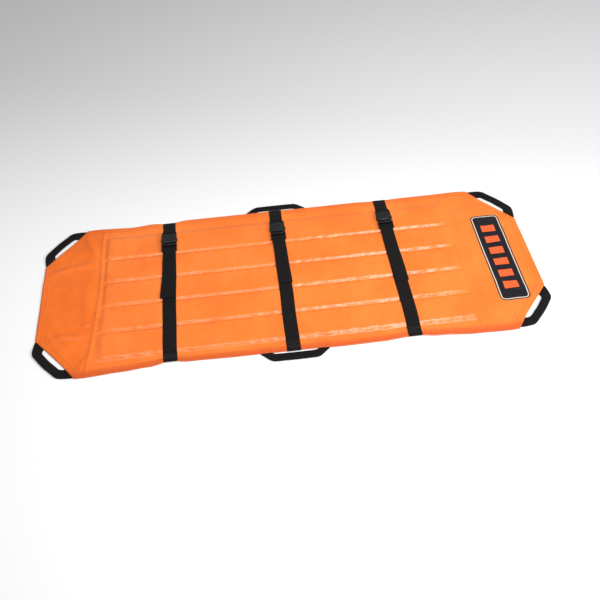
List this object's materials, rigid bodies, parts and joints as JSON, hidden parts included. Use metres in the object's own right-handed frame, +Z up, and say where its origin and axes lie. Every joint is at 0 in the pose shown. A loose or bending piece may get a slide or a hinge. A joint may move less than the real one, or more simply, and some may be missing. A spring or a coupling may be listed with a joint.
{
  "type": "rescue stretcher",
  "caption": "Flat flexible rescue stretcher: coated cloth stiffened by lengthwise slats, with webbing loop handles and buckled cross straps; folds up along its seams.",
  "frame": {"origin": "on the floor, under the middle of the whole outline", "axes": "+X along the stretcher towards the head end, +Y across it towards the edge with the buckles, +Z up"},
  "size_m": [1.8826, 0.7886, 0.0215],
  "materials": {
    "shell_cloth": "glossy vinyl-coated cloth",
    "webbing": "black woven polyester webbing",
    "buckle_plastic": "moulded black plastic, fine satin",
    "slat_wood": "plain plywood"
  },
  "bodies": {
    "center_strip": {"center_base_sheet": "shell_cloth", "center_cover_sheet": "shell_cloth", "center_slat": "slat_wood", "center_strap_webs": "webbing", "center_under_webs": "webbing"},
    "inner_far_strip": {"inner_far_base_sheet": "shell_cloth", "inner_far_cover_sheet": "shell_cloth", "inner_far_slat": "slat_wood", "inner_far_strap_tails": "webbing", "inner_far_strap_webs": "webbing", "inner_far_under_webs": "webbing"},
    "inner_near_strip": {"inner_near_base_sheet": "shell_cloth", "inner_near_cover_sheet": "shell_cloth", "inner_near_slat": "slat_wood", "inner_near_strap_webs": "webbing", "inner_near_under_webs": "webbing"},
    "outer_far_strip": {"outer_far_base_sheet": "shell_cloth", "outer_far_cover_sheet": "shell_cloth", "outer_far_slat": "slat_wood", "outer_far_strap_webs": "webbing", "outer_far_under_webs": "webbing", "far_handle_tabs": "webbing", "foot_buckle_plug": "buckle_plastic", "middle_buckle_plug": "buckle_plastic", "head_buckle_plug": "buckle_plastic", "foot_far_web": "webbing", "middle_far_web": "webbing", "head_far_web": "webbing"},
    "outer_near_strip": {"outer_near_base_sheet": "shell_cloth", "outer_near_cover_sheet": "shell_cloth", "outer_near_slat": "slat_wood", "outer_near_strap_webs": "webbing", "outer_near_under_webs": "webbing", "near_handle_tabs": "webbing"},
    "foot_socket": {"foot_buckle_socket": "buckle_plastic"},
    "foot_prong_left": {"foot_buckle_prong_left": "buckle_plastic"},
    "foot_prong_right": {"foot_buckle_prong_right": "buckle_plastic"},
    "foot_tail_end": {"foot_strap_tail_end": "webbing"},
    "middle_socket": {"middle_buckle_socket": "buckle_plastic"},
    "middle_prong_left": {"middle_buckle_prong_left": "buckle_plastic"},
    "middle_prong_right": {"middle_buckle_prong_right": "buckle_plastic"},
    "middle_tail_end": {"middle_strap_tail_end": "webbing"},
    "head_socket": {"head_buckle_socket": "buckle_plastic"},
    "head_prong_left": {"head_buckle_prong_left": "buckle_plastic"},
    "head_prong_right": {"head_buckle_prong_right": "buckle_plastic"},
    "head_tail_end": {"head_strap_tail_end": "webbing"},
    "foot_near_handle": {"foot_near_handle": "webbing"},
    "foot_far_handle": {"foot_far_handle": "webbing"},
    "head_near_handle": {"head_near_handle": "webbing"},
    "head_far_handle": {"head_far_handle": "webbing"},
    "middle_near_handle": {"middle_near_handle": "webbing"},
    "middle_far_handle": {"middle_far_handle": "webbing"}
  },
  "joints": [
    {"name": "fold_inner_far", "type": "hinge", "parent": "center_strip", "child": "inner_far_strip", "pos_m": [0, 0.06, 0.0042], "axis": [1, 0, 0], "range_deg": [0, 60]},
    {"name": "fold_outer_far", "type": "hinge", "parent": "inner_far_strip", "child": "outer_far_strip", "pos_m": [0, 0.18, 0.0042], "axis": [1, 0, 0], "range_deg": [0, 60]},
    {"name": "fold_inner_near", "type": "hinge", "parent": "center_strip", "child": "inner_near_strip", "pos_m": [0, -0.06, 0.0042], "axis": [-1, 0, 0], "range_deg": [0, 60]},
    {"name": "fold_outer_near", "type": "hinge", "parent": "inner_near_strip", "child": "outer_near_strip", "pos_m": [0, -0.18, 0.0042], "axis": [-1, 0, 0], "range_deg": [0, 60]},
    {"name": "foot_near_handle_swing", "type": "hinge", "parent": "outer_near_strip", "child": "foot_near_handle", "pos_m": [-0.85923, -0.2677, 0.0036], "axis": [-0.6558, 0.755, 0], "range_deg": [0, 110]},
    {"name": "foot_far_handle_swing", "type": "hinge", "parent": "outer_far_strip", "child": "foot_far_handle", "pos_m": [-0.85923, 0.2677, 0.0036], "axis": [0.6558, 0.755, 0], "range_deg": [0, 110]},
    {"name": "head_near_handle_swing", "type": "hinge", "parent": "outer_near_strip", "child": "head_near_handle", "pos_m": [0.85923, -0.2677, 0.0036], "axis": [-0.6558, -0.755, 0], "range_deg": [0, 110]},
    {"name": "head_far_handle_swing", "type": "hinge", "parent": "outer_far_strip", "child": "head_far_handle", "pos_m": [0.85923, 0.2677, 0.0036], "axis": [0.6558, -0.755, 0], "range_deg": [0, 110]},
    {"name": "middle_near_handle_swing", "type": "hinge", "parent": "outer_near_strip", "child": "middle_near_handle", "pos_m": [-0.016, -0.3553, 0.0036], "axis": [-1, 0, 0], "range_deg": [0, 110]},
    {"name": "middle_far_handle_swing", "type": "hinge", "parent": "outer_far_strip", "child": "middle_far_handle", "pos_m": [-0.016, 0.3553, 0.0036], "axis": [1, 0, 0], "range_deg": [0, 110]},
    {"name": "foot_buckle_release", "type": "slide", "parent": "outer_far_strip", "child": "foot_socket", "axis": [0, 1, 0], "range_m": [0, 0.036], "deforming": ["foot_far_web"]},
    {"name": "foot_prong_press", "type": "hinge", "parent": "outer_far_strip", "child": "foot_prong_left", "pos_m": [-0.4735, 0.22746, 0.0162], "axis": [0, 0, -1], "range_deg": [0, 6], "stiffness_Nm_per_rad": 0.2},
    {"name": "foot_prong_press_right", "type": "hinge", "parent": "outer_far_strip", "child": "foot_prong_right", "pos_m": [-0.4325, 0.22746, 0.0162], "axis": [0, 0, 1], "range_deg": [0, 6], "stiffness_Nm_per_rad": 0.2},
    {"name": "foot_tail_lift", "type": "hinge", "parent": "center_strip", "child": "foot_tail_end", "pos_m": [-0.453, 0.05371, 0.0144], "axis": [-1, 0, 0], "range_deg": [0, 100]},
    {"name": "middle_buckle_release", "type": "slide", "parent": "outer_far_strip", "child": "middle_socket", "axis": [0, 1, 0], "range_m": [0, 0.036], "deforming": ["middle_far_web"]},
    {"name": "middle_prong_press", "type": "hinge", "parent": "outer_far_strip", "child": "middle_prong_left", "pos_m": [-0.0405, 0.22746, 0.0162], "axis": [0, 0, -1], "range_deg": [0, 6], "stiffness_Nm_per_rad": 0.2},
    {"name": "middle_prong_press_right", "type": "hinge", "parent": "outer_far_strip", "child": "middle_prong_right", "pos_m": [0.0005, 0.22746, 0.0162], "axis": [0, 0, 1], "range_deg": [0, 6], "stiffness_Nm_per_rad": 0.2},
    {"name": "middle_tail_lift", "type": "hinge", "parent": "center_strip", "child": "middle_tail_end", "pos_m": [-0.02, 0.05371, 0.0144], "axis": [-1, 0, 0], "range_deg": [0, 100]},
    {"name": "head_buckle_release", "type": "slide", "parent": "outer_far_strip", "child": "head_socket", "axis": [0, 1, 0], "range_m": [0, 0.036], "deforming": ["head_far_web"]},
    {"name": "head_prong_press", "type": "hinge", "parent": "outer_far_strip", "child": "head_prong_left", "pos_m": [0.3925, 0.22746, 0.0162], "axis": [0, 0, -1], "range_deg": [0, 6], "stiffness_Nm_per_rad": 0.2},
    {"name": "head_prong_press_right", "type": "hinge", "parent": "outer_far_strip", "child": "head_prong_right", "pos_m": [0.4335, 0.22746, 0.0162], "axis": [0, 0, 1], "range_deg": [0, 6], "stiffness_Nm_per_rad": 0.2},
    {"name": "head_tail_lift", "type": "hinge", "parent": "center_strip", "child": "head_tail_end", "pos_m": [0.413, 0.05371, 0.0144], "axis": [-1, 0, 0], "range_deg": [0, 60]}
  ],
  "couplings": [
    {"joint": "foot_prong_press_right", "follows": "foot_prong_press", "ratio": 1},
    {"joint": "middle_prong_press_right", "follows": "middle_prong_press", "ratio": 1},
    {"joint": "head_prong_press_right", "follows": "head_prong_press", "ratio": 1},
    {"joint": "head_tail_lift", "follows": "fold_inner_near", "ratio": 1}
  ]
}
